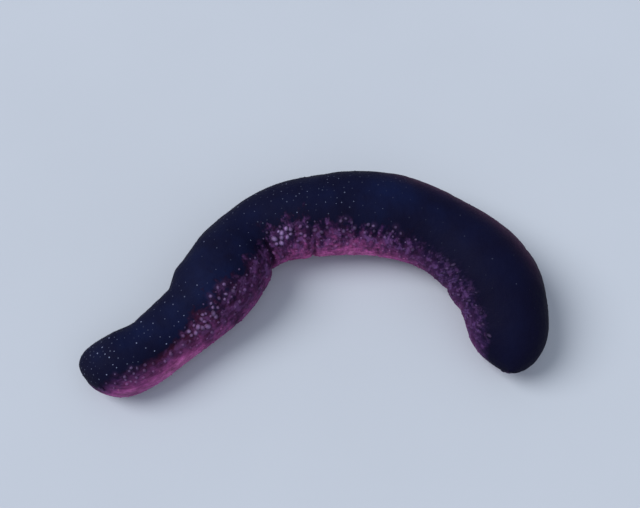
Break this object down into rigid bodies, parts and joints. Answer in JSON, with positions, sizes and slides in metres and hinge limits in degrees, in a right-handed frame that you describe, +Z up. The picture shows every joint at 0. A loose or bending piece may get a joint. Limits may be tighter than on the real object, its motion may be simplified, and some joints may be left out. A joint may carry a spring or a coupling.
{
  "type": "sea cucumber",
  "caption": "Life-size sea cucumber lying in a curved arc: dark dotted back, rose warty flanks and belly, tube feet, puckered mouth and vent.",
  "frame": {"origin": "on the floor, under the middle of the animal's box", "axes": "+X from the mouth end towards the vent end, +Y towards the outside of the bend, +Z up; the sole lies on Z = 0"},
  "size_m": [0.1816, 0.096, 0.0305],
  "materials": {
    "skin": "wet satin, blue-black above and rose-magenta below",
    "mouth_lip": "moist satin",
    "tentacle": "moist satin",
    "vent_lip": "moist satin"
  },
  "bodies": {
    "root": {"head_end": "skin", "forebody": "skin", "front_trunk": "skin", "rear_trunk": "skin", "hindbody": "skin", "tail_end": "skin", "mouth_collar": "mouth_lip", "oral_tentacles": "tentacle", "vent_collar": "vent_lip"}
  },
  "joints": []
}
